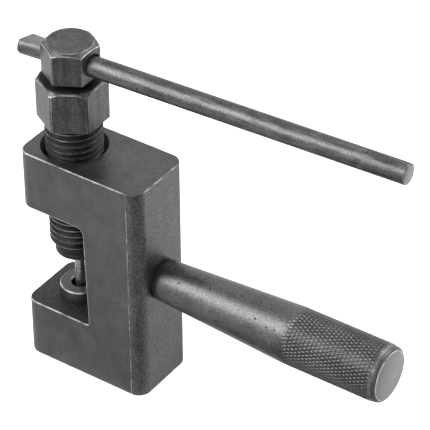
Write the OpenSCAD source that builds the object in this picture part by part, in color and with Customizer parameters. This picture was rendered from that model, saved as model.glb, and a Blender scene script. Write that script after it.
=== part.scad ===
// Chain tool: a C-shaped steel body with a turned side handle, a hollow adjusting bolt
// that clamps the chain, and a push screw with a T-bar that drives the rivet pin.
// The origin is on the screw axis at the body's base. +Z is up, +X points along the handle.

/* [Body] */
// Height of the body
body_h = 69; // [66:0.5:74]
// Thickness of the body between its two side faces
body_t = 22.2; // [21:0.2:25]
// Distance from the screw axis to the front of the two jaws
body_front = 11.3; // [10.8:0.1:12]
// Distance from the screw axis to the back face that holds the handle
body_back = 28.7; // [27:0.1:32]
// Radius of the four upright corners
corner_r = 3.8; // [2:0.1:5]

/* [Mouth] */
// Height of the mouth's floor, which is the top of the lower jaw
mouth_floor = 18.2; // [17:0.1:20]
// Height of the mouth's roof, which is the underside of the upper jaw
mouth_roof = 51; // [48:0.5:53]
// Distance from the screw axis to the mouth's inner wall, at the floor
mouth_wall = 10.9; // [10.4:0.1:12]
// How far the inner wall leans in at the roof
mouth_lean = 0.75; // [0.1:0.05:1.2]
// Fillet between the inner wall and the roof
roof_fillet = 2; // [1:0.5:4]
// Fillet between the inner wall and the floor
floor_fillet = 1; // [0.5:0.5:2]

/* [Anvil bush] */
// Radius of the bush's head
anvil_r = 5.95; // [5.5:0.05:6.5]
// Height of the head above the mouth's floor
anvil_rise = 4; // [3:0.5:5]
// Radius of the hole that the chain's rivet drops into
anvil_hole_r = 2.7; // [2.5:0.1:3]
// Radius of the pressed-in stem
anvil_stem_r = 5; // [4.5:0.1:5.4]
// Radius of the way out below the bush
rivet_exit_r = 2.9; // [2.8:0.05:3.2]

/* [Handle] */
// Height of the handle's axis
handle_z = 35.4; // [33:0.1:38]
// Radius where the handle meets the body
handle_root_r = 5.85; // [5:0.05:7]
// Radius of the knurled grip
handle_grip_r = 8.14; // [7.5:0.02:9]
// Distance from the screw axis to the start of the grip
grip_start = 71.5; // [60:0.5:75]
// Distance from the screw axis to the end of the handle
handle_end = 101.3; // [95:0.1:110]
// Radius of the flat end face
handle_face_r = 6.95; // [6:0.05:7.4]
// Length of the taper between the grip and the end face
handle_taper = 2.3; // [1:0.1:3]
// Length of the threaded spigot inside the body
spigot_len = 12; // [8:1:14]

/* [Adjusting bolt] */
// Radius over the bolt's M16 thread
bolt_thread_r = 8; // [8:0.5:8]
// Pitch of the bolt's thread
bolt_pitch = 2; // [1.5:0.5:2]
// Height of the bolt's nose
nose_tip = 34.2; // [33:0.1:36]
// Length of the plain nose
nose_len = 3.3; // [2:0.1:5]
// Radius of the plain nose
nose_r = 6.6; // [6.2:0.1:6.9]
// Height of the hexagon's underside
bolt_hex_z = 78.3; // [76:0.1:80]
// Height of the bolt's top
bolt_top = 90.9; // [89:0.1:91]
// Spanner size of the bolt's hexagon
bolt_af = 17.45; // [17:0.05:19]
// Turn of the bolt's hexagon about the screw axis
bolt_facing = 1.1; // [-30:0.1:30]

/* [Push screw] */
// Radius over the screw's M10 thread
screw_thread_r = 5; // [5:0.5:5]
// Pitch of the screw's thread
screw_pitch = 1.5; // [1:0.25:1.5]
// Height of the hexagon's underside
screw_hex_z = 92.25; // [92:0.05:94]
// Height of the top of the hexagon
screw_top = 102.1; // [101:0.1:105]
// Spanner size of the hexagon
screw_af = 14; // [13:0.5:15]
// Turn of the screw's hexagon about the screw axis
screw_facing = -0.9; // [-30:0.1:30]
// Height of the dog point that bears on the drive pin
dog_z = 53; // [52.5:0.5:56]

/* [T-bar] */
// Radius of the bar
bar_r = 2.95; // [2.5:0.05:3.2]
// Height of the bar's axis
bar_z = 96.55; // [96.5:0.05:97]
// Turn of the bar from the handle's direction
bar_turn = 3.2; // [0:0.1:360]
// Length of the bar on the grip side of the screw axis
bar_long = 101.45; // [80:0.5:110]
// Length of the bar on the short side of the screw axis
bar_short = 15.2; // [14:0.1:20]
// Radius that the bar's pressed end spreads to
bar_spread_r = 3.4; // [3:0.05:3.5]
// Radius of the cross hole in the hexagon
cross_hole_r = 3.6; // [3.2:0.05:3.8]

/* [Drive pin and spring] */
// Radius of the pin
pin_r = 1.5; // [1:0.05:1.6]
// Height of the pin's tip
pin_tip = 19.5; // [12:0.5:22]
// Wire diameter of the return spring
spring_wire = 0.8; // [0.6:0.1:0.9]

/* [Hidden] */
$fn = 96;
FINE = 0.05;
CUT = 1;

// thread form: a 60 degree thread, with its crest, flank and root as shares of the pitch
CREST = 0.125;
FLANK = 0.3125;
ROOT = 0.25;
DEPTH = 0.5413;

RUN_GAP = 0.05;
bore_r = bolt_thread_r + RUN_GAP;
bore_mouth_r = 9.4;
handle_spigot_r = 4;
handle_taper_r = handle_grip_r - (handle_grip_r - handle_face_r) / 4;
anvil_stem = 6.2;
anvil_top = mouth_floor + anvil_rise;
anvil_chamfer = 0.4;

bolt_core_r = bolt_thread_r - DEPTH * bolt_pitch;
bolt_bore_r = screw_thread_r + RUN_GAP;
bolt_chamber_r = 4.25;
bolt_chamber_top = 52;
nose_wall = 4.2;
nose_floor = nose_tip + nose_wall;
nose_edge = 0.3;
pin_guide_r = pin_r + 0.1;
bolt_neck = 0.6;
bolt_hex_crown = 8.75;
bolt_hex_drop = 1.3;

screw_core_r = screw_thread_r - DEPTH * screw_pitch;
screw_end = dog_z + 1.5;
dog_r = 3.9;
screw_neck = 2;
screw_hex_crown = 6.4;
screw_hex_drop = 1.1;
cross_hole_z = (screw_hex_z + screw_top) / 2;

pin_tip_chamfer = 0.3;
pin_head_r = 3.6;
pin_head_h = 3;
pin_head_z = dog_z - pin_head_h;
washer_r = 4;
washer_h = 0.8;
spring_r = 4;
spring_z = nose_floor + washer_h;
spring_turns = 8;
spring_waist = 0.25 * spring_wire;
spring_bulge = 0.2;

bar_chamfer = 0.6;
bar_flat_len = 8;
bar_flat_depth = 0.75;
bar_bevel = 22;
bar_bevel_start = 3 / 4 * bar_r;

// radius of the corners of a hexagon with the given spanner size
function hex_corner(af) = af / 2 / cos(30);

// one pitch of thread profile from height z up: root, flank, crest
function thread_tooth(r, pitch, z) = [
    [r - DEPTH * pitch, z],
    [r - DEPTH * pitch, z + ROOT * pitch],
    [r, z + (ROOT + FLANK) * pitch],
    [r, z + (ROOT + FLANK + CREST) * pitch]
];

// whole teeth that fit between two heights
function thread_teeth(r, pitch, low, high) = [
    for (i = [0:floor((high - low) / pitch) - 1]) each thread_tooth(r, pitch, low + i * pitch)
];

// hexagonal prism whose top corners are turned down to a round crown
module hex_head(af, low, high, crown_r, drop, facing) {
    corner = hex_corner(af);
    intersection() {
        translate([0, 0, low])
            rotate([0, 0, facing + 30])
                cylinder(r = corner, h = high - low, $fn = 6);
        rotate_extrude()
            polygon([[0, low], [corner + CUT, low], [corner + CUT, high - drop],
                     [corner, high - drop], [crown_r, high], [0, high]]);
    }
}

function way(angle) = [cos(angle), sin(angle)];

// rounds an inner corner at the origin, between walls that leave it at two angles
module fillet_2d(r, first, second) {
    half = (second - first) / 2;
    reach = r / tan(half);
    middle = r / sin(half) * way(first + half);
    difference() {
        polygon([-FINE / sin(half) * way(first + half), reach * way(first) + FINE * way(first - 90),
                 reach * way(first), middle, reach * way(second),
                 reach * way(second) + FINE * way(second + 90)]);
        translate(middle)
            circle(r + FINE / 2);
    }
}

module body_plan() {
    length = body_front + body_back;
    translate([-body_front, -body_t / 2]) {
        translate([corner_r, 0])
            square([length - 2 * corner_r, body_t]);
        translate([0, corner_r])
            square([length, body_t - 2 * corner_r]);
        for (x = [corner_r, length - corner_r])
            for (y = [corner_r, body_t - corner_r])
                translate([x, y])
                    circle(corner_r);
    }
}

// side outline of the mouth, open at the front
module mouth_2d() {
    front = -body_front - CUT;
    lean = atan(mouth_lean / (mouth_roof - mouth_floor));
    difference() {
        polygon([[front, mouth_floor], [mouth_wall, mouth_floor],
                 [mouth_wall - mouth_lean, mouth_roof], [front, mouth_roof]]);
        translate([mouth_wall, mouth_floor])
            fillet_2d(floor_fillet, 90 + lean, 180);
        translate([mouth_wall - mouth_lean, mouth_roof])
            fillet_2d(roof_fillet, 180, 270 + lean);
    }
}

module body() {
    color("dimgray")
        difference() {
            linear_extrude(body_h)
                body_plan();
            rotate([90, 0, 0])
                linear_extrude(body_t + 2 * CUT, center = true)
                    mouth_2d();
            // threaded bore for the adjusting bolt, with its countersink
            translate([0, 0, mouth_roof - CUT])
                cylinder(r = bore_r, h = body_h - mouth_roof + 2 * CUT);
            rotate_extrude()
                polygon([[0, body_h - bore_mouth_r + bore_r], [bore_r, body_h - bore_mouth_r + bore_r],
                         [bore_mouth_r, body_h], [bore_mouth_r, body_h + CUT], [0, body_h + CUT]]);
            // seat of the anvil bush, and the rivet's way out under it
            translate([0, 0, mouth_floor - anvil_stem])
                cylinder(r = anvil_stem_r, h = anvil_stem + CUT);
            translate([0, 0, -CUT])
                cylinder(r = rivet_exit_r, h = mouth_floor);
            // blind hole for the handle's spigot
            translate([body_back - spigot_len - CUT / 2, 0, handle_z])
                rotate([0, 90, 0])
                    cylinder(r = handle_spigot_r + RUN_GAP, h = spigot_len + 2 * CUT);
        }
}

module anvil_bush() {
    low = mouth_floor - anvil_stem;
    color("gray")
        rotate_extrude()
            polygon([[anvil_hole_r, low], [anvil_stem_r, low], [anvil_stem_r, mouth_floor],
                     [anvil_r, mouth_floor], [anvil_r, anvil_top - anvil_chamfer],
                     [anvil_r - anvil_chamfer, anvil_top], [anvil_hole_r, anvil_top]]);
}

// turned handle: spigot, cone and grip, drawn along its own axis
module handle() {
    color("slategray")
        translate([0, 0, handle_z])
            rotate([0, 90, 0])
                rotate_extrude()
                    polygon([[0, body_back - spigot_len], [handle_spigot_r, body_back - spigot_len],
                             [handle_spigot_r, body_back], [handle_root_r, body_back],
                             [handle_grip_r, grip_start], [handle_grip_r, handle_end - handle_taper],
                             [handle_taper_r, handle_end - handle_taper / 2],
                             [handle_face_r, handle_end], [0, handle_end]]);
}

module adjusting_bolt() {
    thread_low = nose_tip + nose_len;
    teeth = thread_teeth(bolt_thread_r, bolt_pitch, thread_low, bolt_hex_z - bolt_neck);
    color("silver")
        difference() {
            union() {
                rotate_extrude()
                    polygon(concat([[0, nose_tip], [nose_r - nose_edge, nose_tip],
                                    [nose_r, nose_tip + nose_edge], [nose_r, thread_low]],
                                   teeth,
                                   [[bolt_core_r, bolt_hex_z + CUT], [0, bolt_hex_z + CUT]]));
                hex_head(bolt_af, bolt_hex_z, bolt_top, bolt_hex_crown, bolt_hex_drop, bolt_facing);
            }
            translate([0, 0, bolt_chamber_top])
                cylinder(r = bolt_bore_r, h = bolt_top - bolt_chamber_top + CUT);
            translate([0, 0, nose_floor])
                cylinder(r = bolt_chamber_r, h = bolt_chamber_top - nose_floor + CUT);
            translate([0, 0, nose_tip - CUT])
                cylinder(r = pin_guide_r, h = nose_wall + 2 * CUT);
        }
}

module push_screw() {
    teeth = thread_teeth(screw_thread_r, screw_pitch, screw_end, screw_hex_z - screw_neck);
    color("darkgray")
        difference() {
            union() {
                rotate_extrude()
                    polygon(concat([[0, dog_z], [dog_r, dog_z], [dog_r, screw_end]],
                                   teeth,
                                   [[screw_core_r, screw_hex_z + CUT], [0, screw_hex_z + CUT]]));
                hex_head(screw_af, screw_hex_z, screw_top, screw_hex_crown, screw_hex_drop, screw_facing);
            }
            translate([0, 0, cross_hole_z])
                rotate([0, 90, bar_turn])
                    cylinder(r = cross_hole_r, h = 2 * screw_af, center = true);
        }
}

// round bar whose short end is pressed flat on top, so that it spreads and can't slide out
module t_bar() {
    press_start = bar_flat_len - bar_short;
    color("lightslategray")
        translate([0, 0, bar_z])
            rotate([0, 0, bar_turn])
                difference() {
                    rotate([0, 90, 0])
                        rotate_extrude()
                            polygon([[0, -bar_short], [bar_spread_r - bar_chamfer, -bar_short],
                                     [bar_spread_r, -bar_short + bar_chamfer],
                                     [bar_r, press_start],
                                     [bar_r, bar_long - bar_chamfer],
                                     [bar_r - bar_chamfer, bar_long], [0, bar_long]]);
                    translate([-bar_short - CUT, -2 * bar_r, bar_r - bar_flat_depth])
                        cube([bar_flat_len + CUT, 4 * bar_r, 2 * bar_r]);
                    translate([-bar_short - CUT, -2 * bar_r, -3 * bar_r])
                        cube([bar_flat_len + CUT, 4 * bar_r, 2 * bar_r]);
                    translate([-bar_short, -bar_bevel_start, 0])
                        rotate([0, 0, -bar_bevel])
                            translate([-4 * bar_r, 0, -2 * bar_r])
                                cube([4 * bar_r, 4 * bar_r, 4 * bar_r]);
                }
}

module drive_pin() {
    color("silver")
        rotate_extrude()
            polygon([[0, pin_tip], [pin_r - pin_tip_chamfer, pin_tip],
                     [pin_r, pin_tip + pin_tip_chamfer],
                     [pin_r, pin_head_z], [pin_head_r, pin_head_z], [pin_head_r, dog_z], [0, dog_z]]);
}

module spring_washer() {
    color("gray")
        translate([0, 0, nose_floor])
            difference() {
                cylinder(r = washer_r, h = washer_h);
                translate([0, 0, -CUT])
                    cylinder(r = pin_guide_r, h = washer_h + 2 * CUT);
            }
}

// coil drawn as touching rings, one ring for each turn
module return_spring() {
    pitch = (pin_head_z - spring_z) / spring_turns;
    inner_r = spring_r - spring_wire;
    color("gainsboro")
        rotate_extrude()
            polygon(concat([[inner_r, spring_z]],
                           [for (i = [0:spring_turns - 1]) each [
                               [spring_r, spring_z + (i + spring_bulge) * pitch],
                               [spring_r, spring_z + (i + 1 - spring_bulge) * pitch],
                               [spring_r - spring_waist, spring_z + (i + 1) * pitch]]],
                           [[inner_r, pin_head_z]]));
}

body();
anvil_bush();
handle();
adjusting_bolt();
push_screw();
t_bar();
drive_pin();
spring_washer();
return_spring();
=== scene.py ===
"""Chain tool: detailed steel pieces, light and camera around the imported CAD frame.

Sizes are in millimetres in the steel pieces' own axes, and become metres in `finish_piece`.
"""

import math

import bmesh
import bpy
import numpy as np
from mathutils import Matrix, Vector


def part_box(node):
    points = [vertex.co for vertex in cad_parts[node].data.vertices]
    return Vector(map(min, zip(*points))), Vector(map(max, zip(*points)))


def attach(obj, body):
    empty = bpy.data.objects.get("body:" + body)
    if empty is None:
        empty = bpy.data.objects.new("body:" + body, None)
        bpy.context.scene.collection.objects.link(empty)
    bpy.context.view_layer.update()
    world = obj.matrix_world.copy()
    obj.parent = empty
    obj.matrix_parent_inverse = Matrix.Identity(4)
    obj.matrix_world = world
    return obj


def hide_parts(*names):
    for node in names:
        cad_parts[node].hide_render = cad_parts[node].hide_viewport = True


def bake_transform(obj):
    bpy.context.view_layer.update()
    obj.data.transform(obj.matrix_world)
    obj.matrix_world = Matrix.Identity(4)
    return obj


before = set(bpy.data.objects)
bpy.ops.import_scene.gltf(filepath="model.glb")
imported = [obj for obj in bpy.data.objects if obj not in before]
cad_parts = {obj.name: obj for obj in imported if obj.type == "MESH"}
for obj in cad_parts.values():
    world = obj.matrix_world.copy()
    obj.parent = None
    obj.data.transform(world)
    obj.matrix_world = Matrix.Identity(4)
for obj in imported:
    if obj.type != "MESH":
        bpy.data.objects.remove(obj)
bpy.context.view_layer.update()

MM = 0.001

# ---------------------------------------------------------------- sizes, from the frame
# Each is a pair of corners in millimetres.


def box_mm(node):
    low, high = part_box(node)
    return low / MM, high / MM


body_low, body_high = box_mm("body")
anvil_low, anvil_high = box_mm("anvil_bush")
handle_low, handle_high = box_mm("handle")
bolt_low, bolt_high = box_mm("adjusting_bolt")
screw_low, screw_high = box_mm("push_screw")
bar_low = box_mm("t_bar")[0]
pin_low, pin_high = box_mm("drive_pin")
washer_low, washer_high = box_mm("spring_washer")
spring_low, spring_high = box_mm("return_spring")

# The body's mouth and corners
MOUTH_FLOOR = 18.2
MOUTH_ROOF = 51.0
MOUTH_WALL = 10.9
MOUTH_LEAN = 0.75
ROOF_FILLET = 2.0
FLOOR_FILLET = 1.0
CORNER_R = 3.8
BORE_R = 8.05
BORE_MOUTH_R = 9.4
EXIT_R = 2.9
WORN_EDGE = 0.3

# The anvil bush
ANVIL_STEM_R = 5.0
ANVIL_HOLE_R = 2.7

# The handle, along its axis from the screw axis
HANDLE_Z = (handle_low.z + handle_high.z) / 2
ROOT_R = 5.85
GRIP_R = 8.14
GRIP_START = 71.5
GRIP_END = 98.9
FACE_R = 6.95
SPIGOT_R = 4.0
KNURL_AROUND = 46
KNURL_PERIOD = 2.3
KNURL_DEPTH = 0.27
KNURL_FADE_IN = 2.6
KNURL_FADE_OUT = 0.3

# Threads: radius and pitch, and the half crest, flank and depth of a 60 degree thread in pitches
BOLT_THREAD = (8.0, 2.0)
SCREW_THREAD = (5.0, 1.5)
HALF_CREST = 0.075
FLANK = 0.3125
DEPTH = 0.5413

# The adjusting bolt
NOSE_R = 6.6
NOSE_LEN = 3.3
NOSE_WALL = 4.2
BOLT_HEX_Z = 78.3
BOLT_NECK = 0.6
BOLT_AF = 17.45
BOLT_FACING = 1.1
BOLT_BORE_R = 5.05
CHAMBER_R = 4.25
CHAMBER_TOP = 52.0
GUIDE_R = 1.6

# The push screw
SCREW_HEX_Z = 92.25
SCREW_NECK = 2.0
SCREW_AF = 14.0
SCREW_FACING = -0.9
DOG_R = 3.9
DOG_LEN = 1.5
CROSS_HOLE_R = 3.2
CROSS_HOLE_Z = (SCREW_HEX_Z + screw_high.z) / 2 - 0.4

# The T-bar, along its axis from the screw axis
BAR_R = 2.95
BAR_Z = bar_low.z + BAR_R
BAR_TURN = 3.2
BAR_LONG = 101.45
BAR_SHORT = 15.2
BAR_FLAT_END = -7.2
BAR_FLAT_DEPTH = 0.75
BAR_SPREAD = 1.15
BAR_BEVEL = 22
BAR_BEVEL_START = -BAR_R * 3 / 4
DENT_S = BAR_LONG - 13.5
DENT_ANGLE = math.radians(98)
DENT_DEPTH = 0.45
DENT_LENGTH = 1.1
DENT_WIDTH = 1.0

# The drive pin and its return spring
PIN_R = 1.5
PIN_HEAD_R = 3.6
PIN_HEAD_H = 3.0
SPRING_WIRE = 0.8
SPRING_COILS = 8
SPRING_LIFT = 0.03

# Which of a piece's materials a face takes. Pieces with one material use only STEEL. KNURL is the
# handle's, FACED is the handle's and the T-bar's, and ROUGH, MOUTH, SAWN and RUBBED are the body's.
STEEL = 0
WORN = 1
FAINT = 2
# DARK faces take the darkest material: painted shade in holes, gaps, undersides and thread grooves.
DARK = 3
KNURL = 3
FACED = 4
ROUGH = 4
MOUTH = 5
SAWN = 6
RUBBED = 7

# Features per metre of the patterns in the steel
CLOUDS = 160
PIT_CLUSTERS = 310
RUB_PATCHES = 330
PIT_CELLS = 600
TOOL_LINES = 900
FINE_GRAIN = 2600
BARE_GLOSS = 0.08
BUMP_STRENGTH = 0.5
BUMP_DISTANCE = 0.00006
METALLIC = 0.92


# ---------------------------------------------------------------- shader nodes


def add_node(tree, kind, settings=None, **inputs):
    """A shader node with its settings, and each input set or linked by name."""
    made = tree.nodes.new(kind)
    for key, value in (settings or {}).items():
        setattr(made, key, value)
    for key, value in inputs.items():
        socket = made.inputs[key.replace("_", " ")]
        if isinstance(value, bpy.types.NodeSocket):
            tree.links.new(value, socket)
        else:
            socket.default_value = value
    return made


def math_node(tree, operation, a, b=0.0):
    made = tree.nodes.new("ShaderNodeMath")
    made.operation = operation
    for socket, value in zip(made.inputs, (a, b)):
        if isinstance(value, bpy.types.NodeSocket):
            tree.links.new(value, socket)
        else:
            socket.default_value = value
    return made.outputs[0]


def ramp(tree, value, low, high, dark, light):
    """value mapped from low..high to the two values dark..light, and held outside."""
    made = add_node(tree, "ShaderNodeMapRange", {"clamp": True}, Value=value)
    made.inputs["From Min"].default_value = low
    made.inputs["From Max"].default_value = high
    made.inputs["To Min"].default_value = dark
    made.inputs["To Max"].default_value = light
    return made.outputs["Result"]


def noise(tree, place, scale, detail=4.0, rough=0.55, stretch=(1, 1, 1)):
    moved = add_node(tree, "ShaderNodeMapping", None, Vector=place)
    moved.inputs["Scale"].default_value = stretch
    made = add_node(tree, "ShaderNodeTexNoise", None, Vector=moved.outputs["Vector"])
    made.inputs["Scale"].default_value = scale
    made.inputs["Detail"].default_value = detail
    made.inputs["Roughness"].default_value = rough
    return made.outputs["Fac"]


def varied(tree, value, pattern, share):
    """value raised and lowered by a share of itself, as a noise pattern says."""
    return math_node(tree, "MULTIPLY", value, ramp(tree, pattern, 0.3, 0.7, 1 - share, 1 + share))


def pit_depth(tree, place, pits):
    """How deep in a pit a place is, from 0 to 1. Pits come in clusters, which pits makes wider."""
    cells = add_node(tree, "ShaderNodeTexVoronoi", {"feature": "F1"}, Vector=place)
    cells.inputs["Scale"].default_value = PIT_CELLS
    cells.inputs["Randomness"].default_value = 1.0
    clusters = noise(tree, place, PIT_CLUSTERS, 1)
    chosen = ramp(tree, clusters, 0.62 - 0.08 * pits, 0.66 - 0.08 * pits, 0.0, 1.0)
    round_pit = ramp(tree, cells.outputs["Distance"], 0.1, 0.22, 1.0, 0.0)
    return math_node(tree, "MULTIPLY", round_pit, chosen)


def knurl_groove_shade(tree, place, groove):
    """Painted shade in the knurl: darker grooves and slightly lighter tops, by distance from the
    handle's axis.
    """
    split = add_node(tree, "ShaderNodeSeparateXYZ", None, Vector=place)
    lift = math_node(tree, "SUBTRACT", split.outputs["Z"], HANDLE_Z * MM)
    across = math_node(tree, "MULTIPLY", split.outputs["Y"], split.outputs["Y"])
    squared = math_node(tree, "ADD", across, math_node(tree, "MULTIPLY", lift, lift))
    from_axis = math_node(tree, "SQRT", squared)
    return ramp(tree, from_axis, (GRIP_R - groove) * MM, (GRIP_R - 0.05) * MM, 0.62, 1.1)


def oxide_steel(name, tone, gloss=0.36, grain=1.0, streak=(1, 1, 1), streak_depth=0.4,
                pits=0.0, wear=0.0, bare_tone=0.45, groove=0.0):
    """Black-oxide steel: a grey metal, mottled by its finish, with tool streaks, fine grain and pits.

    tone is the mean grey and gloss the mean roughness. wear is the share rubbed back to bare_tone.
    groove is the depth, in millimetres below the handle's grip, over which painted shade darkens it.
    """
    material = bpy.data.materials.new(name)
    material.use_nodes = True
    tree = material.node_tree
    shader = tree.nodes["Principled BSDF"]
    place = add_node(tree, "ShaderNodeTexCoord").outputs["Object"]
    cloud = noise(tree, place, CLOUDS, 5, 0.6)
    fine = noise(tree, place, FINE_GRAIN, 3, 0.6)
    lines = noise(tree, place, TOOL_LINES, 2, 0.5, streak)

    grey = ramp(tree, cloud, 0.3, 0.7, tone * 0.82, tone * 1.2)
    grey = varied(tree, grey, fine, 0.22 * grain)
    grey = varied(tree, grey, lines, 0.25 * streak_depth)
    dull = ramp(tree, cloud, 0.25, 0.75, gloss * 0.85, gloss * 1.25)
    dull = math_node(tree, "MULTIPLY", dull, ramp(tree, lines, 0.3, 0.7, 0.92, 1.1))
    height = math_node(tree, "MULTIPLY", fine, 0.5 * grain)
    height = math_node(tree, "ADD", height, math_node(tree, "MULTIPLY", lines, streak_depth))
    if pits:
        pit = pit_depth(tree, place, pits)
        grey = math_node(tree, "MULTIPLY", grey, ramp(tree, pit, 0.0, 1.0, 1.0, 0.12))
        height = math_node(tree, "SUBTRACT", height, math_node(tree, "MULTIPLY", pit, 2.0))
    # Painted shade in the knurl's grooves.
    if groove:
        grey = math_node(tree, "MULTIPLY", grey, knurl_groove_shade(tree, place, groove))
    if wear:
        rub = noise(tree, place, RUB_PATCHES, 6, 0.7)
        bare = ramp(tree, rub, 0.56 - 0.24 * wear, 0.8 - 0.24 * wear, 0.0, 1.0)
        kept = math_node(tree, "MULTIPLY", grey, ramp(tree, bare, 0, 1, 1, 0))
        grey = math_node(tree, "ADD", kept, math_node(tree, "MULTIPLY", bare, bare_tone))
        dull = math_node(tree, "SUBTRACT", dull, math_node(tree, "MULTIPLY", bare, BARE_GLOSS))

    colour = add_node(tree, "ShaderNodeCombineColor", None, Red=grey, Green=grey, Blue=grey)
    bump = add_node(tree, "ShaderNodeBump", None, Height=height)
    bump.inputs["Strength"].default_value = BUMP_STRENGTH
    bump.inputs["Distance"].default_value = BUMP_DISTANCE
    tree.links.new(colour.outputs["Color"], shader.inputs["Base Color"])
    tree.links.new(dull, shader.inputs["Roughness"])
    tree.links.new(bump.outputs["Normal"], shader.inputs["Normal"])
    shader.inputs["Metallic"].default_value = METALLIC
    return material


# ---------------------------------------------------------------- meshes


def finish_piece(obj, body, node, materials, sharp=35.0):
    """Scales a piece to metres, shades it, and puts it in place of its CAD node.

    A piece that bends between two bodies is given no body here, and its transform is baked after.
    """
    obj.data.transform(Matrix.Scale(MM, 4))
    for material in materials:
        obj.data.materials.append(material)
    obj.data.shade_smooth()
    obj.data.set_sharp_from_angle(angle=math.radians(sharp))
    normals = obj.modifiers.new("face_weighted", "WEIGHTED_NORMAL")
    normals.keep_sharp = True
    normals.weight = 80
    if body:
        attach(obj, body)
    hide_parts(node)
    return obj


def mesh_object(name, mesh):
    obj = bpy.data.objects.new(name, mesh)
    bpy.context.scene.collection.objects.link(obj)
    return obj


class Lathe:
    """A closed skin of rows around an axis. Each row holds a radius and a height for every column."""

    def __init__(self, columns):
        self.angles = np.array(columns, float)
        self.radii, self.heights, self.tags, self.shifts = [], [], [], []

    def row(self, radius, height, tag=STEEL):
        """Adds a row. tag is the material of the band from it to the next row."""
        count = len(self.angles)
        self.radii.append(np.broadcast_to(np.asarray(radius, float), (count,)).copy())
        self.heights.append(np.broadcast_to(np.asarray(height, float), (count,)).copy())
        self.tags.append(tag)
        self.shifts.append(None)

    def thread(self, major, pitch, low, high, steps=14, lead_in=None):
        """Rows of a right-hand thread between two heights. Its taper grows from the radius lead_in."""
        first = len(self.radii)
        turn = self.angles / (2 * math.pi)
        count = int((high - low) / pitch + 2) * steps
        for j in range(count + 1):
            height = np.clip(low + pitch * (j / steps - 1 + turn), low, high)
            phase = (height - low) / pitch - turn
            radius = major - thread_depth(phase) * pitch
            if lead_in is not None:
                radius = np.minimum(radius, lead_in + (height - low))
            # Crests take the faint worn edge; the rest of the thread takes painted shade.
            on_crest = (j + 1) % steps < 2
            self.row(radius, height, FAINT if on_crest else DARK)
        last = len(self.radii) - 1
        for i in range(first, last + 1):
            self.shifts[i] = (steps, last)

    def mesh(self, name, place, column_tags=None):
        """The mesh, with place(radius, angle, height) giving each point."""
        rows, count = len(self.radii), len(self.angles)
        radius = np.array(self.radii)
        height = np.array(self.heights)
        angle = np.broadcast_to(self.angles, radius.shape)
        points = np.stack(place(radius, angle, height), -1).reshape(-1, 3)
        faces, marks = [], []
        for i in range(rows - 1):
            for k in range(count):
                a, b = i, i + 1
                c, d = i, i + 1
                if k == count - 1:
                    c, d = self.over_seam(i), self.over_seam(i + 1)
                nxt = (k + 1) % count
                faces.append((a * count + k, c * count + nxt, d * count + nxt, b * count + k))
                mark = self.tags[i]
                if mark == "hex":
                    mark = WORN if column_tags[k] else STEEL
                marks.append(mark)
        return closed_mesh(name, points, faces, marks)

    def over_seam(self, i):
        """The row that row i joins where the columns close. A thread has climbed one pitch there."""
        if self.shifts[i] is None:
            return i
        steps, last = self.shifts[i]
        return min(i + steps, last)


def thread_depth(phase):
    """Depth below the crest of a 60 degree thread, in pitches. The crest is at phase 0."""
    away = np.abs((phase + 0.5) % 1.0 - 0.5)
    return np.clip((away - HALF_CREST) / FLANK * DEPTH, 0.0, DEPTH)


def closed_mesh(name, points, faces, marks):
    """A mesh from points and faces, with doubled points merged, empty faces gone and slits closed."""
    mesh = bpy.data.meshes.new(name)
    mesh.from_pydata([tuple(p) for p in points], [], faces)
    mesh.polygons.foreach_set("material_index", np.array(marks, np.int32))
    work = bmesh.new()
    work.from_mesh(mesh)
    bmesh.ops.remove_doubles(work, verts=work.verts, dist=1e-4)
    bmesh.ops.dissolve_degenerate(work, edges=work.edges, dist=1e-5)
    bmesh.ops.holes_fill(work, edges=[e for e in work.edges if e.is_boundary], sides=4)
    bmesh.ops.recalc_face_normals(work, faces=work.faces)
    work.to_mesh(mesh)
    work.free()
    return mesh


def upright(radius, angle, height):
    return radius * np.cos(angle), radius * np.sin(angle), height


def even_columns(count):
    return np.arange(count) * 2 * math.pi / count


def hex_corner_arc(af, rounding):
    """Radius to the middle of a hexagon's corner arc, and half the arc's angle at the axis."""
    middle = (af / 2 - rounding) / math.cos(math.pi / 6)
    half = math.atan2(rounding / 2, middle + rounding * math.cos(math.pi / 6))
    return middle, half


def hex_columns(af, facing, rounding, fill=24):
    """Angles for a hexagon's columns, and which bands lie along the two sides of a rounded corner."""
    half = hex_corner_arc(af, rounding)[1]
    sector = [-half, -half / 2, 0.0, half / 2]
    sector += list(np.linspace(half, math.pi / 3 - half, fill)[:-1])
    beside_flat = [True, False, False, True] + [False] * (fill - 1)
    start = math.radians(facing + 30)
    angles = [start + s * math.pi / 3 + a for s in range(6) for a in sector]
    return np.array(angles), beside_flat * 6


def hex_radius(angles, af, facing, rounding):
    """The hexagon's outline with rounded corners, as a radius for each angle."""
    middle, half = hex_corner_arc(af, rounding)
    turn = (angles - math.radians(facing + 30)) % (math.pi / 3)
    from_corner = np.minimum(turn, math.pi / 3 - turn)
    flat = af / 2 / np.cos(math.pi / 6 - from_corner)
    inside = np.maximum(rounding**2 - (middle * np.sin(from_corner)) ** 2, 0)
    rounded = middle * np.cos(from_corner) + np.sqrt(inside)
    return np.where(from_corner < half - 1e-9, rounded, flat)


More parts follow.
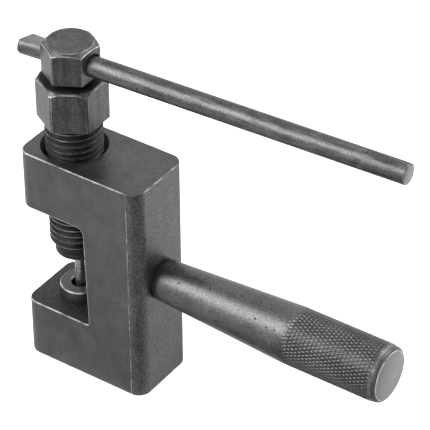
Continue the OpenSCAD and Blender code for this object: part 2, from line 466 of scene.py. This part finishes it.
def hex_rows(lathe, af, facing, rounding, low, high, crown, shoulder, slope, under_r, top_tag=STEEL):
    """Rows of a hexagonal head from its underside to its crown.

    The crown rounds off by shoulder, and a cone of the given slope takes the corners down from there.
    """
    soft = 0.16
    across = hex_radius(lathe.angles, af, facing, rounding)
    crown = np.minimum(crown, across - 2.5 * soft)
    edge = high - shoulder - (across - crown) * slope
    lathe.row(under_r, low)
    lathe.row(across - soft, low, FAINT)
    lathe.row(across - soft * 0.3, low + soft * 0.3, FAINT)
    lathe.row(across, low + soft, "hex")
    lathe.row(across, edge - soft, WORN)
    lathe.row(across - soft * 0.3, edge - soft * 0.3 + 0.05, WORN)
    lathe.row(across - soft * 1.3, edge + soft * 1.3 * slope, STEEL)
    reach = np.minimum(0.35, (across - crown) / 2)
    lathe.row(crown + reach, high - shoulder * 0.75, STEEL)
    lathe.row(crown + reach * 0.45, high - shoulder * 0.28, FAINT)
    lathe.row(crown, high - shoulder * 0.05, FAINT)
    lathe.row(crown - reach * 0.6, high, top_tag)


def outline_solid(name, outline, low, high):
    """A closed prism over an outline, from low to high."""
    work = bmesh.new()
    base = [work.verts.new((x, y, low)) for x, y in outline]
    face = work.faces.new(base)
    grown = bmesh.ops.extrude_face_region(work, geom=[face])
    tops = [g for g in grown["geom"] if isinstance(g, bmesh.types.BMVert)]
    bmesh.ops.translate(work, verts=tops, vec=(0, 0, high - low))
    bmesh.ops.recalc_face_normals(work, faces=work.faces)
    mesh = bpy.data.meshes.new(name)
    work.to_mesh(mesh)
    work.free()
    return mesh_object(name, mesh)


def turned_solid(name, profile, count=96):
    """A closed solid of revolution about Z from (radius, height) points."""
    lathe = Lathe(even_columns(count))
    for radius, height in profile:
        lathe.row(radius, height)
    return mesh_object(name, lathe.mesh(name, upright))


def carve(target, *cutters):
    """target less each cutter, with the cutters removed."""
    for cutter in cutters:
        cut = target.modifiers.new("cut", "BOOLEAN")
        cut.operation = "DIFFERENCE"
        cut.solver = "EXACT"
        cut.object = cutter
        bpy.context.view_layer.update()
        result = bpy.data.meshes.new_from_object(
            target.evaluated_get(bpy.context.evaluated_depsgraph_get()))
        target.modifiers.clear()
        target.data = result
        bpy.data.objects.remove(cutter)


def arc(cx, cy, radius, angles):
    """Points on an arc at angles in degrees."""
    return [(cx + radius * math.cos(math.radians(a)), cy + radius * math.sin(math.radians(a)))
            for a in angles]


def bevel_sharp(obj, width, keep, angle=40.0, segments=2):
    """Bevels edges sharper than angle into bands of the worn material, where keep(edge) is true."""
    work = bmesh.new()
    work.from_mesh(obj.data)
    bmesh.ops.remove_doubles(work, verts=work.verts, dist=1e-4)
    sharp = [e for e in work.edges if e.is_manifold and e.calc_face_angle() > math.radians(angle)
             and keep(e)]
    bmesh.ops.bevel(work, geom=sharp, offset=width, offset_type="OFFSET", segments=segments,
                    profile=0.5, affect="EDGES", clamp_overlap=True, material=WORN)
    bmesh.ops.recalc_face_normals(work, faces=work.faces)
    work.to_mesh(obj.data)
    work.free()


# ---------------------------------------------------------------- pieces


def body_block():
    """The body's bar stock, with a narrow strip beside each corner where the ground faces meet it."""
    x0, x1 = body_low.x, body_high.x
    y0, y1 = body_low.y, body_high.y
    r = CORNER_R
    steps = np.array([0, 4.5, 13, 22, 31, 40, 50, 59, 68, 77, 85.5, 90])
    plan = (arc(x1 - r, y0 + r, r, steps - 90) + arc(x1 - r, y1 - r, r, steps)
            + arc(x0 + r, y1 - r, r, steps + 90) + arc(x0 + r, y0 + r, r, steps + 180))
    return outline_solid("body_block", plan, 0.0, body_high.z)


def mouth_cutter():
    front = body_low.x - 2
    wall_top = MOUTH_WALL - MOUTH_LEAN
    lean = math.degrees(math.atan2(MOUTH_LEAN, MOUTH_ROOF - MOUTH_FLOOR))
    outline = [(front, MOUTH_FLOOR)]
    outline += arc(MOUTH_WALL - FLOOR_FILLET, MOUTH_FLOOR + FLOOR_FILLET, FLOOR_FILLET,
                   np.linspace(-90, lean, 7))
    outline += arc(wall_top - ROOF_FILLET, MOUTH_ROOF - ROOF_FILLET, ROOF_FILLET,
                   np.linspace(lean, 90, 9))
    outline += [(front, MOUTH_ROOF)]
    cutter = outline_solid("mouth_cutter", outline, body_low.y - 2, body_high.y + 2)
    cutter.data.transform(Matrix.Rotation(math.pi / 2, 4, "X"))
    return cutter


def body_tag(centre, normal):
    """The material of one of the body's faces: rough where it was never ground, and darkened with
    painted shade in its holes and mouth.
    """
    from_axis = math.hypot(centre.x, centre.y)
    sideways = abs(normal.y) > 0.9
    level = abs(normal.z) > 0.9
    # Holes take painted shade.
    if from_axis < BORE_MOUTH_R and centre.z > MOUTH_ROOF + 0.5 and not level:
        return DARK
    if from_axis < anvil_high.x and centre.z < MOUTH_FLOOR - 0.5 and centre.z > 0.5:
        return DARK
    # The mouth between the jaws takes a darker material: painted shade.
    in_mouth = MOUTH_FLOOR - 0.1 < centre.z < MOUTH_ROOF + 0.1 and centre.x < MOUTH_WALL + 0.1
    if in_mouth and not sideways and centre.x > body_low.x + 0.1:
        return MOUTH
    if abs(normal.z) < 0.1 and abs(normal.x) > 0.01 and abs(normal.y) > 0.01:
        slant = math.degrees(math.atan2(abs(normal.y), abs(normal.x)))
        if centre.x < MOUTH_WALL:
            return STEEL
        return ROUGH if slant < 85 else RUBBED
    if normal.x > 0.9 and centre.x > MOUTH_WALL + 0.2:
        return SAWN
    return STEEL


def worn_tag(centre):
    """The material of a bevelled edge: bright where hands and chain rub it, faint elsewhere."""
    corner = CORNER_R * 0.93
    if centre.x > body_high.x - corner and abs(centre.y) > body_high.y - corner:
        return ROUGH
    low_edge = centre.z < 1.0
    far_front = centre.x < body_low.x + 2.0 and centre.z < body_high.z - 1
    if centre.x > body_high.x - 1:
        return RUBBED
    return FAINT if low_edge or far_front else WORN


def make_body():
    body = body_block()
    top = body_high.z
    sink = BORE_MOUTH_R - BORE_R
    bore = turned_solid("bore_cutter", [(0, MOUTH_ROOF - 1), (BORE_R, MOUTH_ROOF - 1),
                                        (BORE_R, top - sink), (BORE_MOUTH_R, top),
                                        (BORE_MOUTH_R, top + 1), (0, top + 1)])
    above = MOUTH_FLOOR + 1
    exit_hole = turned_solid("exit_cutter", [(0, -1), (EXIT_R, -1), (EXIT_R, anvil_low.z),
                                             (ANVIL_STEM_R, anvil_low.z), (ANVIL_STEM_R, above),
                                             (0, above)], 64)
    carve(body, mouth_cutter(), bore, exit_hole)

    def outside(edge):
        return all(math.hypot(v.co.x, v.co.y) > BORE_MOUTH_R + 0.2 for v in edge.verts)

    bevel_sharp(body, WORN_EDGE, outside)
    for face in body.data.polygons:
        if face.material_index == WORN:
            face.material_index = worn_tag(face.center)
        else:
            face.material_index = body_tag(face.center, face.normal)
    return body


def make_anvil():
    rim = 0.4
    outer, top = anvil_high.x, anvil_high.z
    lathe = Lathe(even_columns(96))
    # The band at the anvil's foot and the inside of its hole take painted shade.
    for radius, height, tag in [
        (ANVIL_HOLE_R, anvil_low.z, STEEL), (ANVIL_STEM_R, anvil_low.z, STEEL),
        (ANVIL_STEM_R, MOUTH_FLOOR, STEEL), (outer - 0.1, MOUTH_FLOOR, DARK),
        (outer, MOUTH_FLOOR + 0.1, STEEL), (outer, top - rim - 0.1, FAINT),
        (outer - 0.08, top - rim + 0.08, WORN), (outer - rim * 0.5, top - rim * 0.25, FAINT),
        (outer - rim - 0.15, top, STEEL), (ANVIL_HOLE_R + 0.3, top, FAINT),
        (ANVIL_HOLE_R, top - 0.3, DARK), (ANVIL_HOLE_R, anvil_low.z, STEEL),
    ]:
        lathe.row(radius, height, tag)
    return mesh_object("anvil_bush_turned", lathe.mesh("anvil_bush_turned", upright))


def along_handle(radius, angle, height):
    """Points of a piece turned about the handle's axis, from angle 0 at the top towards -Y."""
    return height, -radius * np.sin(angle), HANDLE_Z + radius * np.cos(angle)


def knurl_height(angle, x):
    """How deep the knurl is cut at a place, from 0 on a diamond's flat top to 1 in a groove."""
    groove_share = 0.5
    around = KNURL_AROUND * angle / (2 * math.pi)
    along = x / KNURL_PERIOD
    first = np.abs((around + along + 0.5) % 1.0 - 0.5) * 2
    second = np.abs((around - along + 0.5) % 1.0 - 0.5) * 2
    return 1.0 - np.clip(np.minimum(first, second) / groove_share, 0.0, 1.0)


def make_handle():
    face_x = handle_high.x
    root_x = body_high.x
    steps = 10
    lathe = Lathe(even_columns(KNURL_AROUND * steps))
    lathe.row(0.0, handle_low.x)
    lathe.row(SPIGOT_R - 0.5, handle_low.x)
    lathe.row(SPIGOT_R, handle_low.x + 0.5)
    lathe.row(SPIGOT_R, root_x)
    lathe.row(ROOT_R - 0.75, root_x)
    lathe.row(ROOT_R - 0.75, root_x + 0.2)
    lathe.row(ROOT_R - 0.1, root_x + 0.5)
    cone = (GRIP_R - ROOT_R) / (GRIP_START - root_x)
    for x in np.linspace(root_x + 0.75, GRIP_START - 0.3, 24):
        lathe.row(ROOT_R + cone * (x - root_x), x)
    count = int(round((GRIP_END - GRIP_START) / KNURL_PERIOD * steps))
    for x in np.linspace(GRIP_START, GRIP_END, count + 1):
        entry = np.clip((x - GRIP_START) / KNURL_FADE_IN, 0.0, 1.0)
        leave = np.clip((GRIP_END - x) / KNURL_FADE_OUT, 0.0, 1.0)
        deep = KNURL_DEPTH * min(entry, leave)
        tag = KNURL if entry > 0.55 else STEEL
        lathe.row(GRIP_R - 0.02 - deep * knurl_height(lathe.angles, x), x, tag)
    band = 1.2
    band_r = GRIP_R - 0.25
    # The band beside the knurl takes the faint worn edge: a little wear and a painted highlight.
    lathe.row(GRIP_R - 0.1, GRIP_END + 0.35, FAINT)
    lathe.row(band_r, GRIP_END + band)
    taper = face_x - GRIP_END - band
    for t in (0.3, 0.5, 0.68, 0.82, 0.92):
        lathe.row(FACE_R + (band_r - FACE_R) * math.sqrt(1 - t**2), GRIP_END + band + taper * t)
    lathe.row(FACE_R + 0.12, face_x - 0.1, WORN)
    lathe.row(FACE_R - 0.1, face_x, FACED)
    lathe.row(0.0, face_x)
    return mesh_object("handle_turned", lathe.mesh("handle_turned", along_handle))


def make_bolt():
    rounding = 0.9
    columns, beside_flat = hex_columns(BOLT_AF, BOLT_FACING, rounding)
    lathe = Lathe(columns)
    major, pitch = BOLT_THREAD
    core = major - DEPTH * pitch
    tip, top = bolt_low.z, bolt_high.z
    thread_low = tip + NOSE_LEN
    # The nose's underside and side, and the neck under the hex, take painted shade.
    lathe.row(GUIDE_R, tip, DARK)
    lathe.row(NOSE_R - 0.3, tip, FAINT)
    lathe.row(NOSE_R - 0.08, tip + 0.1, FAINT)
    lathe.row(NOSE_R, tip + 0.3, DARK)
    lathe.row(NOSE_R, thread_low, DARK)
    lathe.thread(major, pitch, thread_low, BOLT_HEX_Z - BOLT_NECK, lead_in=NOSE_R)
    lathe.row(core, BOLT_HEX_Z - BOLT_NECK, DARK)
    # The top annulus and the bore take painted shade, for the gap under the push screw's hex.
    hex_rows(lathe, BOLT_AF, BOLT_FACING, rounding, BOLT_HEX_Z, top, crown=8.6, shoulder=0.1,
             slope=0.9, under_r=core, top_tag=DARK)
    lathe.row(BOLT_BORE_R + 0.5, top, DARK)
    lathe.row(BOLT_BORE_R, top - 0.5, DARK)
    lathe.row(BOLT_BORE_R, CHAMBER_TOP)
    lathe.row(CHAMBER_R, CHAMBER_TOP)
    lathe.row(CHAMBER_R, tip + NOSE_WALL)
    lathe.row(GUIDE_R, tip + NOSE_WALL)
    lathe.row(GUIDE_R, tip)
    name = "adjusting_bolt_threaded"
    return mesh_object(name, lathe.mesh(name, upright, beside_flat))


def make_screw():
    rounding = 0.35
    columns, beside_flat = hex_columns(SCREW_AF, SCREW_FACING, rounding, 20)
    lathe = Lathe(columns)
    major, pitch = SCREW_THREAD
    core = major - DEPTH * pitch
    low, top = screw_low.z, screw_high.z
    lathe.row(0.0, low)
    lathe.row(DOG_R - 0.3, low)
    lathe.row(DOG_R, low + 0.3)
    lathe.row(DOG_R, low + DOG_LEN)
    lathe.thread(major, pitch, low + DOG_LEN, SCREW_HEX_Z - SCREW_NECK, steps=8, lead_in=core)
    # The neck under the hex takes painted shade.
    lathe.row(core, SCREW_HEX_Z - SCREW_NECK, DARK)
    hex_rows(lathe, SCREW_AF, SCREW_FACING, rounding, SCREW_HEX_Z, top, crown=6.35, shoulder=0.3,
             slope=0.5, under_r=core)
    lathe.row(0.0, top)
    name = "push_screw_threaded"
    screw = mesh_object(name, lathe.mesh(name, upright, beside_flat))
    reach = 16
    drill = turned_solid("cross_drill", [(0, -reach), (CROSS_HOLE_R, -reach),
                                         (CROSS_HOLE_R, reach), (0, reach)], 64)
    turn = Matrix.Rotation(math.radians(BAR_TURN), 4, "Z") @ Matrix.Rotation(math.pi / 2, 4, "Y")
    drill.data.transform(Matrix.Translation((0, 0, CROSS_HOLE_Z)) @ turn)
    carve(screw, drill)
    # Faces inside the cross hole take painted shade.
    edge, inside_r = 0.3, 5.5
    for face in screw.data.polygons:
        in_height = SCREW_HEX_Z + edge < face.center.z < top - edge
        if in_height and face.center.xy.length < inside_r:
            face.material_index = DARK
    return screw


def along_bar(radius, angle, height):
    """Points of the T-bar, from angle 0 at the top towards -Y, with its short end pressed flat."""
    side = -radius * np.sin(angle)
    up = radius * np.cos(angle)
    press = np.clip((BAR_FLAT_END - height) / (BAR_FLAT_END + BAR_SHORT), 0, 1)
    side = side * (1 + (BAR_SPREAD - 1) * press)
    up = np.where(height < BAR_FLAT_END, np.minimum(up, BAR_R - BAR_FLAT_DEPTH), up)
    slant = -BAR_SHORT + (side - BAR_BEVEL_START) * math.tan(math.radians(BAR_BEVEL))
    s = np.maximum(height, slant)
    turn = math.radians(BAR_TURN)
    x = s * math.cos(turn) - side * math.sin(turn)
    y = s * math.sin(turn) + side * math.cos(turn)
    return x, y, BAR_Z + up


def bar_dent(angles, s):
    """Depth of the small punch mark near the bar's long end."""
    off = (angles - DENT_ANGLE + math.pi) % (2 * math.pi) - math.pi
    fall = -((s - DENT_S) / DENT_LENGTH) ** 2 - (off * BAR_R / DENT_WIDTH) ** 2
    return DENT_DEPTH * np.exp(fall)


def make_bar():
    lathe = Lathe(even_columns(96))
    chamfer = 0.55
    for share in (0.0, 0.35, 0.7):
        lathe.row((BAR_R - chamfer) * share, -BAR_SHORT)
    lathe.row(BAR_R - chamfer, -BAR_SHORT, FAINT)
    lathe.row(BAR_R - chamfer * 0.3, -BAR_SHORT + chamfer * 0.3, FAINT)
    lathe.row(BAR_R, -BAR_SHORT + chamfer)
    for s in np.arange(-BAR_SHORT + 0.8, BAR_FLAT_END - 0.2, 0.3):
        lathe.row(BAR_R, s)
    for s in (BAR_FLAT_END - 0.02, BAR_FLAT_END + 0.02):
        lathe.row(BAR_R, s)
    for s in np.linspace(BAR_FLAT_END + 1, DENT_S - 4, 30):
        lathe.row(BAR_R, s)
    for s in np.arange(DENT_S - 3, DENT_S + 3, 0.2):
        lathe.row(BAR_R - bar_dent(lathe.angles, s), s)
    lathe.row(BAR_R, DENT_S + 4)
    lathe.row(BAR_R, BAR_LONG - chamfer, FAINT)
    lathe.row(BAR_R - chamfer * 0.3, BAR_LONG - chamfer * 0.3, FAINT)
    lathe.row(BAR_R - chamfer, BAR_LONG, FACED)
    lathe.row(0.0, BAR_LONG)
    bar = mesh_object("t_bar_drawn", lathe.mesh("t_bar_drawn", along_bar))
    flat_z = BAR_Z + BAR_R - BAR_FLAT_DEPTH
    for face in bar.data.polygons:
        if face.normal.z > 0.99 and abs(face.center.z - flat_z) < 0.02:
            face.material_index = FACED
    return bar


def make_pin():
    lathe = Lathe(even_columns(48))
    neck = pin_high.z - PIN_HEAD_H
    for radius, height in [(0, pin_low.z), (PIN_R - 0.3, pin_low.z), (PIN_R, pin_low.z + 0.3),
                           (PIN_R, neck - 0.4), (PIN_R + 0.4, neck), (PIN_HEAD_R - 0.2, neck),
                           (PIN_HEAD_R, neck + 0.2), (PIN_HEAD_R, pin_high.z - 0.2),
                           (PIN_HEAD_R - 0.2, pin_high.z), (0, pin_high.z)]:
        lathe.row(radius, height)
    return mesh_object("drive_pin_ground", lathe.mesh("drive_pin_ground", upright))


def make_washer():
    lathe = Lathe(even_columns(64))
    outer = washer_high.x
    edge = 0.1
    for radius, height in [(GUIDE_R, washer_low.z), (outer - edge, washer_low.z),
                           (outer, washer_low.z + edge), (outer, washer_high.z - edge),
                           (outer - edge, washer_high.z), (GUIDE_R, washer_high.z),
                           (GUIDE_R, washer_low.z)]:
        lathe.row(radius, height)
    return mesh_object("spring_washer_turned", lathe.mesh("spring_washer_turned", upright))


def make_spring():
    """A coil of round wire with closed ends, just clear of the washer that it stands on."""
    wire = SPRING_WIRE / 2
    middle = spring_high.x - wire
    low, high = spring_low.z + wire + SPRING_LIFT, spring_high.z - wire
    sides, per_turn = 12, 40
    turns = SPRING_COILS
    points, faces = [], []
    count = turns * per_turn
    for i in range(count + 1):
        turn = i / per_turn
        share = np.clip((turn - 0.75) / (turns - 1.5), 0, 1)
        z = low + (high - low) * share
        a = 2 * math.pi * turn
        for k in range(sides):
            b = 2 * math.pi * k / sides
            r = middle + wire * math.cos(b)
            points.append((r * math.cos(a), r * math.sin(a), z + wire * math.sin(b)))
    for i in range(count):
        for k in range(sides):
            n = (k + 1) % sides
            faces.append((i * sides + k, i * sides + n, (i + 1) * sides + n, (i + 1) * sides + k))
    faces.append(tuple(range(sides)))
    faces.append(tuple(count * sides + k for k in range(sides)))
    marks = [STEEL] * len(faces)
    name = "return_spring_coil"
    return mesh_object(name, closed_mesh(name, points, faces, marks))


# The scale of the tool streaks along each axis. A small number makes long streaks.
upright_grain = (1, 1, 0.06)
handle_grain = (1, 0.05, 0.05)
bar_grain = (0.18, 1.3, 1.3)
ring_grain = (0.04, 0.04, 1)
fine_rings = (0.12, 0.12, 3)

worn_edge = oxide_steel("worn_edge", 0.17, 0.36, grain=1.8, wear=0.8, bare_tone=0.8)
hex_edge = oxide_steel("rubbed_edge", 0.13, 0.36, grain=2.0, wear=0.6, bare_tone=0.45)
faint_edge = oxide_steel("faint_edge", 0.12, 0.38, grain=1.8, wear=0.45, bare_tone=0.38)
faced_steel = oxide_steel("faced_oxide", 0.215, 0.36, grain=1.0, streak_depth=0.3)
# Painted shade: the darkest material, for holes, gaps, undersides and thread grooves.
dark_steel = oxide_steel("recess_painted_shade", 0.037, 0.5, grain=2.6, streak=fine_rings,
                         streak_depth=1.6)
rough_steel = oxide_steel("unground_oxide", 0.115, 0.5, grain=3.2, streak_depth=0.2, pits=0.5)
sawn_steel = oxide_steel("sawn_oxide", 0.103, 0.36, grain=2.4, streak=(1, 1, 0.3),
                         streak_depth=0.3, pits=0.2)
# Darker than the body: painted shade in the mouth between the jaws.
mouth_shaded_steel = oxide_steel("mouth_shaded_oxide", 0.055, 0.5, grain=2.4, streak_depth=0.3, pits=0.5)
body_steel = oxide_steel("body_oxide", 0.103, 0.36, grain=1.1, streak=(1, 1, 0.2),
                         streak_depth=0.25)
anvil_steel = oxide_steel("anvil_oxide", 0.1, 0.36, grain=1.2, streak=ring_grain)
handle_steel = oxide_steel("handle_oxide", 0.113, 0.36, grain=2.0, streak=handle_grain, pits=1.0)
# The knurl's material darkens its grooves with painted shade.
knurl_steel = oxide_steel("knurl_oxide", 0.108, 0.3, grain=2.0, streak_depth=0.1,
                          groove=KNURL_DEPTH)
bolt_steel = oxide_steel("bolt_oxide", 0.096, 0.36, grain=2.4, streak=upright_grain,
                         streak_depth=1.1, pits=0.3)
screw_steel = oxide_steel("screw_oxide", 0.094, 0.36, grain=1.8, streak=upright_grain,
                          streak_depth=1.0)
bar_steel = oxide_steel("bar_oxide", 0.104, 0.36, grain=2.0, streak=bar_grain,
                        streak_depth=1.3, pits=0.3)
pin_steel = oxide_steel("pin_ground", 0.3, 0.25, grain=0.4, streak=ring_grain)
spring_steel = oxide_steel("spring_wire", 0.3, 0.3, grain=0.5)
washer_steel = oxide_steel("washer_turned", 0.25, 0.35, grain=0.5, streak=ring_grain)

edges = [worn_edge, faint_edge, dark_steel]
hex_edges = [hex_edge, faint_edge, dark_steel]
finish_piece(make_body(), "frame", "body",
             [body_steel] + edges + [rough_steel, mouth_shaded_steel, sawn_steel, hex_edge])
finish_piece(make_anvil(), "frame", "anvil_bush", [anvil_steel] + edges)
finish_piece(make_handle(), "frame", "handle",
             [handle_steel, worn_edge, faint_edge, knurl_steel, faced_steel])
finish_piece(make_bolt(), "adjuster", "adjusting_bolt", [bolt_steel] + hex_edges)
finish_piece(make_screw(), "screw", "push_screw", [screw_steel] + hex_edges)
finish_piece(make_bar(), "bar", "t_bar", [bar_steel] + edges + [faced_steel])
finish_piece(make_pin(), "pin", "drive_pin", [pin_steel])
finish_piece(make_washer(), "seat", "spring_washer", [washer_steel])
spring = finish_piece(make_spring(), None, "return_spring", [spring_steel])
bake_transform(spring)


# ---------------------------------------------------------------- floor, light and camera


def compass_way(azimuth, elevation):
    """A direction from the tool, with the azimuth in degrees from +X towards +Y."""
    a, e = math.radians(azimuth), math.radians(elevation)
    return Vector((math.cos(a) * math.cos(e), math.sin(a) * math.cos(e), math.sin(e)))


def square_mesh(name, size):
    mesh = bpy.data.meshes.new(name)
    corners = [(-size, -size, 0), (size, -size, 0), (size, size, 0), (-size, size, 0)]
    mesh.from_pydata(corners, [], [(0, 1, 2, 3)])
    return mesh


def make_floor():
    mesh = square_mesh("floor", 3.0)
    floor = mesh_object("floor", mesh)
    paint = bpy.data.materials.new("floor_paint")
    paint.use_nodes = True
    shader = paint.node_tree.nodes["Principled BSDF"]
    shader.inputs["Base Color"].default_value = (0.95, 0.95, 0.95, 1)
    shader.inputs["Emission Color"].default_value = (1, 1, 1, 1)
    shader.inputs["Emission Strength"].default_value = 0.4
    shader.inputs["Roughness"].default_value = 0.9
    shader.inputs["Specular IOR Level"].default_value = 0.1
    mesh.materials.append(paint)


def area_light(name, azimuth, elevation, distance, size, power):
    """A soft square light that shines on the middle of the tool from a direction."""
    middle = Vector((0.03, 0, 0.05))
    lamp = bpy.data.lights.new(name, "AREA")
    lamp.shape = "RECTANGLE"
    lamp.size = size
    lamp.size_y = size
    lamp.energy = power
    obj = bpy.data.objects.new(name, lamp)
    way = compass_way(azimuth, elevation)
    obj.location = middle + way * distance
    obj.rotation_euler = way.to_track_quat("Z", "Y").to_euler()
    bpy.context.scene.collection.objects.link(obj)


def reflection_card(name, size):
    """A square card that only reflections see, and its empty shader tree."""
    mesh = square_mesh(name, size)
    card = mesh_object(name, mesh)
    card.visible_camera = False
    card.visible_diffuse = False
    card.visible_shadow = False
    glow = bpy.data.materials.new(name + "_glow")
    glow.use_nodes = True
    glow.node_tree.nodes.remove(glow.node_tree.nodes["Principled BSDF"])
    mesh.materials.append(glow)
    return card, glow.node_tree


def set_glow(tree, colour, strength):
    shine = add_node(tree, "ShaderNodeEmission", None, Color=colour, Strength=strength)
    tree.links.new(shine.outputs["Emission"], tree.nodes["Material Output"].inputs["Surface"])


def base_shade(tree, place, brightest):
    """The reflector's strength: brightest in the open, and dimmer close round the body's base.

    place is measured from the body's corner nearest the camera.
    """
    dim, dim_to, bright_from = 0.68, 0.012, 0.045
    half_x = (body_high.x - body_low.x) / 2 * MM
    half_y = (body_high.y - body_low.y) / 2 * MM
    split = add_node(tree, "ShaderNodeSeparateXYZ", None, Vector=place)
    along = math_node(tree, "ABSOLUTE", math_node(tree, "ADD", split.outputs["X"], half_x))
    across = math_node(tree, "ABSOLUTE", math_node(tree, "SUBTRACT", split.outputs["Y"], half_y))
    beyond = math_node(tree, "MAXIMUM", math_node(tree, "SUBTRACT", along, half_x),
                       math_node(tree, "SUBTRACT", across, half_y))
    return ramp(tree, beyond, dim_to, bright_from, dim * brightest, brightest)


def make_reflector():
    """A gradient card on the floor that only reflections see, darkest towards the camera.

    Each stop is a compass direction in degrees from +X towards +Y, and a brightness.
    """
    stops = [(-180, 1.3), (-160, 0.85), (-125, 0.9), (-105, 0.95), (-95, 0.9), (-84, 0.4), (-20, 0.3),
             (5, 0.5), (25, 1.2), (55, 1.45), (100, 1.2), (125, 1.2), (160, 1.3), (180, 1.3)]
    brightest = 3.0
    card, tree = reflection_card("reflector", 1.5)
    card.location = Vector((body_high.x, body_low.y, 0.3)) * MM
    place = add_node(tree, "ShaderNodeTexCoord").outputs["Object"]
    compass = add_node(tree, "ShaderNodeTexGradient", {"gradient_type": "RADIAL"}, Vector=place)
    tones = add_node(tree, "ShaderNodeValToRGB", None, Fac=compass.outputs["Fac"])
    points = tones.color_ramp.elements
    while len(points) < len(stops):
        points.new(0.5)
    for point, (direction, brightness) in zip(points, stops):
        point.position = (direction + 180) / 360
        level = brightness / brightest
        point.color = (level, level, level, 1)
    set_glow(tree, tones.outputs["Color"], base_shade(tree, place, brightest))


def make_flag():
    """A dim card behind and above the camera that only reflections see."""
    distance, strength = 1.3, 0.35
    card, tree = reflection_card("flag", 0.75)
    way = compass_way(-50, 52)
    card.location = way * distance
    card.rotation_euler = way.to_track_quat("Z", "Y").to_euler()
    set_glow(tree, (1, 1, 1, 1), strength)


def make_light():
    world = bpy.data.worlds.new("studio")
    world.use_nodes = True
    sky = world.node_tree.nodes["Background"]
    sky.inputs["Color"].default_value = (1, 1, 1, 1)
    sky.inputs["Strength"].default_value = 1.0
    bpy.context.scene.world = world
    area_light("key_left", -125, 40, 0.9, 0.6, 6.2)
    area_light("fill_back", 60, 50, 1.1, 0.9, 5)


def make_camera():
    """The camera that the photograph was taken from, as an angle, a distance and a lens."""
    azimuth, elevation, roll = (math.radians(v) for v in (35.15, 36.72, -0.517))
    aim = Vector((0.035218, 0.015505, 0.050248))
    distance = 0.73405
    back = Vector((math.sin(azimuth) * math.cos(elevation), -math.cos(azimuth) * math.cos(elevation),
                   math.sin(elevation)))
    right = Vector((math.cos(azimuth), math.sin(azimuth), 0))
    up = back.cross(right)
    turned = right * math.cos(roll) + up * math.sin(roll)
    rows = Matrix((turned, back.cross(turned), back))
    lens = bpy.data.cameras.new("camera")
    lens.sensor_width = 36
    lens.lens = 226.0
    lens.clip_start = 0.01
    camera = bpy.data.objects.new("camera", lens)
    camera.matrix_world = Matrix.Translation(aim + back * distance) @ rows.transposed().to_4x4()
    bpy.context.scene.collection.objects.link(camera)
    bpy.context.scene.camera = camera


make_floor()
make_reflector()
make_flag()
make_light()
make_camera()
bpy.context.scene.view_settings.view_transform = "Standard"
